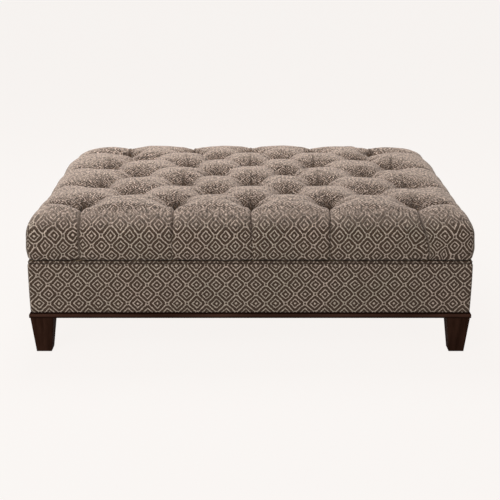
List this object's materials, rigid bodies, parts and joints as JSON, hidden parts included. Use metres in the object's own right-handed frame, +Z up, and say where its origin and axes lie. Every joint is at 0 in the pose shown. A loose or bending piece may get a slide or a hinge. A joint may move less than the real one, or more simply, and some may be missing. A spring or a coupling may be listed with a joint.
{
  "type": "ottoman coffee table",
  "caption": "Low rectangular upholstered ottoman table with a deep diamond-tufted top, flat fabric sides, a dark wood base moulding and tapered square legs.",
  "frame": {"origin": "on the floor under the middle of the body", "axes": "+Z up, +X along the length to the right, the long front faces -Y"},
  "size_m": [1.287, 0.9598, 0.4449],
  "materials": {
    "cover_fabric": "woven jacquard, small concentric diamonds in taupe on dark brown",
    "espresso_wood": "espresso stain under satin lacquer",
    "glide_plastic": "moulded, matte",
    "frame_wood": "planed hardwood, unfinished",
    "plywood": "sanded plywood",
    "foam": "open-cell upholstery foam",
    "twine": "waxed tufting twine",
    "fibre_board": "pressed fibre",
    "cambric": "non-woven black cloth",
    "zinc_steel": "zinc plated"
  },
  "bodies": {
    "root": {"tufted_cushion": "cover_fabric", "front_band": "cover_fabric", "back_band": "cover_fabric", "left_band": "cover_fabric", "right_band": "cover_fabric", "front_moulding": "espresso_wood", "back_moulding": "espresso_wood", "left_moulding": "espresso_wood", "right_moulding": "espresso_wood", "front_left_leg": "espresso_wood", "front_right_leg": "espresso_wood", "back_right_leg": "espresso_wood", "back_left_leg": "espresso_wood", "front_left_glide": "glide_plastic", "front_right_glide": "glide_plastic", "back_right_glide": "glide_plastic", "back_left_glide": "glide_plastic", "front_rail": "frame_wood", "back_rail": "frame_wood", "left_rail": "frame_wood", "right_rail": "frame_wood", "left_cross_rail": "frame_wood", "right_cross_rail": "frame_wood", "front_left_block": "frame_wood", "front_right_block": "frame_wood", "back_right_block": "frame_wood", "back_left_block": "frame_wood", "tufting_deck": "plywood", "foam_core": "foam", "tuft_twines": "twine", "tuft_washers": "fibre_board", "dust_cover": "cambric", "dust_cover_staples": "zinc_steel", "leg_plates": "zinc_steel", "hanger_bolts": "zinc_steel", "plate_screws": "zinc_steel", "rail_screws": "zinc_steel", "block_screws": "zinc_steel", "deck_screws": "zinc_steel", "moulding_brads": "zinc_steel"}
  },
  "joints": []
}
